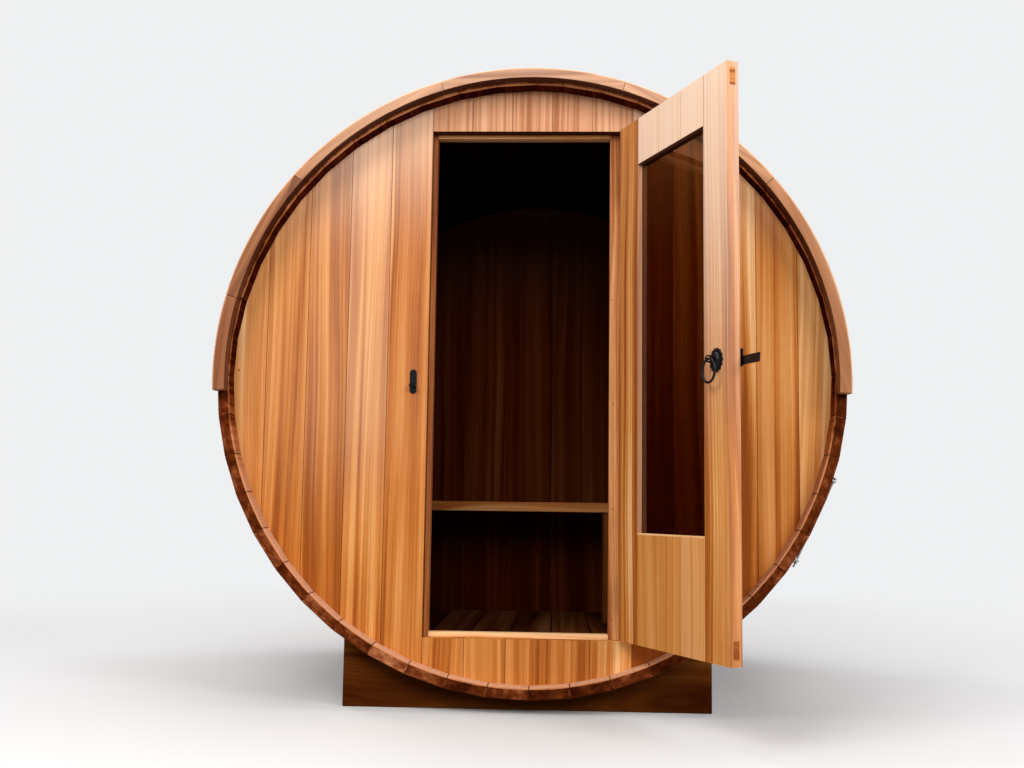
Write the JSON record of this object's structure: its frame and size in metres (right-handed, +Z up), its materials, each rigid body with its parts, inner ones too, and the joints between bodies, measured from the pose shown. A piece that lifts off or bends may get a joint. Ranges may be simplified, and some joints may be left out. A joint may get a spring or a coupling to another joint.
{
  "type": "barrel sauna",
  "caption": "Small outdoor sauna: a lying cedar barrel on two cradles, with a recessed end wall, a glazed hinged door with a ring latch, a curved roof edge, a plank floor and a bench.",
  "frame": {"origin": "on the ground, under the middle of the barrel's length and width", "axes": "+Z up, -Y to the front with the door, +Y along the barrel to the back, +X to the right as seen from the front"},
  "size_m": [1.9622, 2.2546, 2.001],
  "materials": {
    "stave_cedar": "weathered red cedar staves, oiled",
    "wall_cedar": "smooth clear cedar boards, vertical grain",
    "door_cedar": "smooth clear cedar, pale and golden",
    "frame_cedar": "planed cedar",
    "fascia_cedar": "planed cedar, slightly greyed",
    "floor_cedar": "planed cedar planks",
    "bench_cedar": "planed cedar",
    "cradle_wood": "rough-sawn cedar",
    "tinted_glass": "bronze tinted safety glass",
    "black_iron": "black painted iron, satin",
    "band_steel": "stainless band",
    "roof_felt": "mineral-faced bitumen covering"
  },
  "bodies": {
    "barrel": {"staves_top_right": "stave_cedar", "staves_upper_right": "stave_cedar", "staves_lower_right": "stave_cedar", "staves_bottom_right": "stave_cedar", "staves_bottom_left": "stave_cedar", "staves_lower_left": "stave_cedar", "staves_upper_left": "stave_cedar", "staves_top_left": "stave_cedar", "front_wall_left": "wall_cedar", "front_wall_right": "wall_cedar", "front_wall_over_door": "wall_cedar", "front_wall_under_door": "wall_cedar", "rear_wall": "wall_cedar", "lock_post": "frame_cedar", "hinge_post": "frame_cedar", "door_head": "frame_cedar", "door_sill": "frame_cedar", "floor_planks": "floor_cedar", "floor_bearers": "floor_cedar", "bench_seat": "bench_cedar", "bench_cleats": "bench_cedar", "bench_leg": "bench_cedar", "cradle_front": "cradle_wood", "cradle_rear": "cradle_wood", "steel_bands": "band_steel", "roof_covering": "roof_felt", "fascia_front": "fascia_cedar", "fascia_rear": "fascia_cedar", "frame_hinges": "black_iron", "latch_keeper": "black_iron"},
    "door": {"door_hinge_stile": "door_cedar", "door_lock_stile": "door_cedar", "door_top_boards": "door_cedar", "door_bottom_boards": "door_cedar", "door_splines": "door_cedar", "door_glass": "tinted_glass", "leaf_hinges": "black_iron", "inner_rosette": "black_iron", "outer_rosette": "black_iron", "latch_guide": "black_iron"},
    "latch": {"latch_knob": "black_iron", "latch_bar": "black_iron"},
    "ring": {"pull_ring": "black_iron"}
  },
  "joints": [
    {"name": "door_swing", "type": "hinge", "parent": "barrel", "child": "door", "pos_m": [0.319, -0.754, 1.02], "axis": [0, 0, 1], "range_deg": [-113.5, 30]},
    {"name": "latch_lift", "type": "hinge", "parent": "door", "child": "latch", "pos_m": [0.54266, -1.28594, 1.015], "axis": [-0.9171, -0.3987, 0], "range_deg": [0, 14]},
    {"name": "ring_swing", "type": "hinge", "parent": "latch", "child": "ring", "pos_m": [0.4858, -1.31066, 1.0175], "axis": [-0.3987, 0.9171, 0], "range_deg": [-12, 85]}
  ]
}
